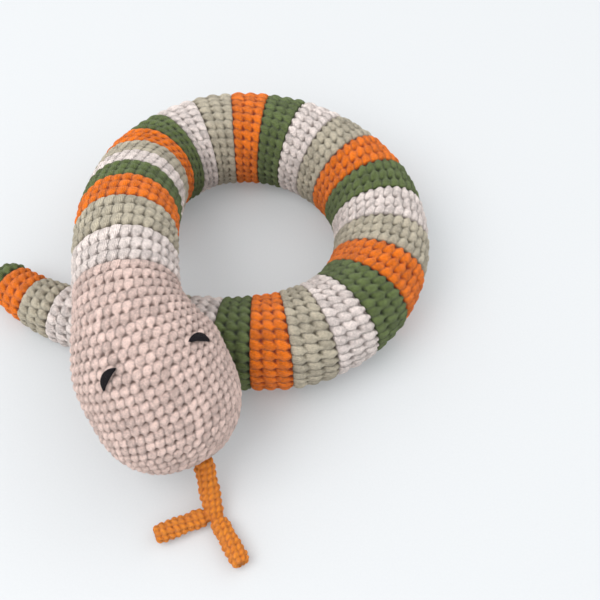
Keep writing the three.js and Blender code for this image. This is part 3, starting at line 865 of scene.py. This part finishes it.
class SNAKE_OT_crochet_tongue(bpy.types.Operator):
    """Crochet the tongue's stem and its two tines as a cord"""

    bl_idname = "snake.crochet_tongue"
    bl_label = "Crochet the tongue"

    def execute(self, context):
        tongue, sizes = context.scene.snake_tongue, context.scene.snake_yarn
        material = yarn_material("tongue_yarn", sizes.tongue, worn=0.92, shaded_under=0.22)
        cords = (
            ("tongue_stem", "tongue", tongue.stem, 1.0, 1.0, STEM_ROOT),
            ("tongue_fork_left", "fork_left", tongue.fork, tongue.fork_reach, tongue.knob, TINE_ROOT),
            ("tongue_fork_right", "fork_right", tongue.fork, tongue.fork_reach, tongue.knob, TINE_ROOT),
        )
        for node, body, thickness, reach, knob, proud in cords:
            start = np.array(JOINTS[body]["pos_m"])
            end = start + (far_point(node, start) - start) * reach
            piece = self.cord(node, start, end, thickness / 2, knob, proud, tongue.pitch, sizes)
            piece.data.materials.append(material)
            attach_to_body(piece, body)
            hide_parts(node)
        return {"FINISHED"}

    def cord(self, node, start, end, radius, knob, proud, pitch, sizes):
        """A cord of stitches from start to end, with rounded ends that close the joints."""
        tip = radius * knob
        root = radius + proud
        centre = self.cord_line(start, end, root, tip)
        run = np.concatenate(((0,), np.cumsum(np.linalg.norm(np.diff(centre, axis=0), axis=1))))
        rows = round(run[-1] / pitch)
        row = np.arange(CORD_OPENINGS[0], rows - CORD_OPENINGS[1], 1 / LINES_PER_ROW)
        at = row / rows * run[-1]
        line = np.stack([np.interp(at, run, centre[:, i]) for i in range(3)], axis=-1)
        body = radius + (tip - radius) * smooth(KNOB_FROM, 1.0, at / run[-1])
        turns = at / run[-1] * CREASE_TURNS
        creases = 1 + CREASE_SIZE * np.sin(turns * 2 * math.pi + radius * CREASE_SHIFT)
        radii = body * rounded_end(at, root) * rounded_end(run[-1] - at, tip) * creases
        around = round(2 * math.pi * radius / pitch)
        skin = tube(line, radii, around * COLUMNS_PER_STITCH)
        seed = len(node) + int(node.endswith("right"))
        return crochet(f"crochet_{node}", skin, row, [around] * rows, sizes, -1, first_row=seed)

    def cord_line(self, start, end, root, tip):
        """A curve that droops to the table between the two ends, run on into what it is sewn to."""
        inner = end + unit(start - end) * tip
        inner[2] = max(inner[2], tip)
        middle = (start + inner) / 2
        middle[2] = (start[2] + 3 * inner[2]) / 4
        t = np.linspace(0, 1, CORD_STEPS)[:, None]
        centre = start * (1 - t) ** 2 + 2 * middle * t * (1 - t) + inner * t**2
        first, last = unit(centre[1] - centre[0]), unit(centre[-1] - centre[-2])
        return np.vstack((start - first * root, centre, inner + last * tip))


def rounded_end(left, radius):
    """Share of a cord's radius that is there, a given run away from its rounded end."""
    dome = np.sqrt(np.clip(1 - (1 - left / radius) ** 2, 0.001, 1))
    return np.where(left < radius, dome, 1.0)


# The floor's half width, the sky's colour, and the lamps: place, size, and share of the key light's power.
FLOOR_HALF = 30.0
SKY_COLOUR = (0.97, 0.985, 1.0, 1.0)
LAMPS = (
    ("key_light", (-0.60, -0.40, 1.15), 0.9, 1.0),
    ("fill_light", (0.8, 0.6, 1.0), 1.0, 0.25),
)


class SNAKE_OT_set_stage(bpy.types.Operator):
    """Set the floor, the soft lights and the camera"""

    bl_idname = "snake.set_stage"
    bl_label = "Set the stage"

    def execute(self, context):
        stage = context.scene.snake_stage
        self.lay_floor(stage)
        self.hang_lights(context, stage)
        self.place_camera(context, stage)
        return {"FINISHED"}

    def lay_floor(self, stage):
        half = FLOOR_HALF
        corners = [(-half, -half, 0), (half, -half, 0), (half, half, 0), (-half, half, 0)]
        mesh = bpy.data.meshes.new("floor")
        mesh.from_pydata(corners, [], [(0, 1, 2, 3)])
        floor = bpy.data.objects.new("floor", mesh)
        floor.data.materials.append(stage_material(stage.floor, stage.glow))
        bpy.context.scene.collection.objects.link(floor)

    def hang_lights(self, context, stage):
        world = bpy.data.worlds.new("soft_sky")
        world.use_nodes = True
        background = world.node_tree.nodes["Background"]
        background.inputs["Color"].default_value = SKY_COLOUR
        background.inputs["Strength"].default_value = stage.sky
        context.scene.world = world
        for name, place, size, strength in LAMPS:
            light = bpy.data.lights.new(name, "AREA")
            light.size = size
            light.energy = stage.key * strength
            lamp = bpy.data.objects.new(name, light)
            lamp.location = place
            lamp.rotation_euler = (-Vector(place)).to_track_quat("-Z", "Y").to_euler()
            context.scene.collection.objects.link(lamp)

    def place_camera(self, context, stage):
        camera = bpy.data.objects.new("camera", bpy.data.cameras.new("camera"))
        camera.data.lens = stage.lens
        back = Vector((0.0, -math.cos(stage.elevation), math.sin(stage.elevation)))
        camera.location = Vector((stage.aim_x, stage.aim_y, 0.0)) + back * stage.distance
        camera.rotation_euler = (math.pi / 2 - stage.elevation, 0.0, 0.0)
        context.scene.collection.objects.link(camera)
        context.scene.camera = camera
        context.scene.view_settings.view_transform = "Standard"


class SNAKE_PT_panel(bpy.types.Panel):
    """The snake's pieces, in the order they are made"""

    bl_label = "Crocheted Snake"
    bl_idname = "SNAKE_PT_panel"
    bl_space_type = "VIEW_3D"
    bl_region_type = "UI"
    bl_category = "Snake"

    def draw(self, context):
        for operator in OPERATORS:
            self.layout.operator(operator.bl_idname)
        for group in GROUPS:
            box = self.layout.box()
            settings = getattr(context.scene, group)
            for name in settings.__annotations__:
                box.prop(settings, name)


OPERATORS = (
    SNAKE_OT_work_stripes,
    SNAKE_OT_work_head,
    SNAKE_OT_embroider_eyes,
    SNAKE_OT_crochet_tongue,
    SNAKE_OT_set_stage,
)
GROUPS = {
    "snake_body": SnakeBody,
    "snake_head": SnakeHead,
    "snake_tongue": SnakeTongue,
    "snake_yarn": SnakeYarn,
    "snake_stage": SnakeStage,
}


def register():
    """Adds the classes, and the settings to the scene."""
    for group in (*GROUPS.values(), *OPERATORS, SNAKE_PT_panel):
        bpy.utils.register_class(group)
    for name, group in GROUPS.items():
        setattr(bpy.types.Scene, name, PointerProperty(type=group))


def unregister():
    """Takes them away again."""
    for name in GROUPS:
        delattr(bpy.types.Scene, name)
    for group in reversed((*GROUPS.values(), *OPERATORS, SNAKE_PT_panel)):
        bpy.utils.unregister_class(group)


def main():
    """Makes the snake."""
    register()
    bpy.ops.snake.work_stripes()
    bpy.ops.snake.work_head()
    bpy.ops.snake.embroider_eyes()
    bpy.ops.snake.crochet_tongue()
    bpy.ops.snake.set_stage()


if __name__ == "__main__":
    main()
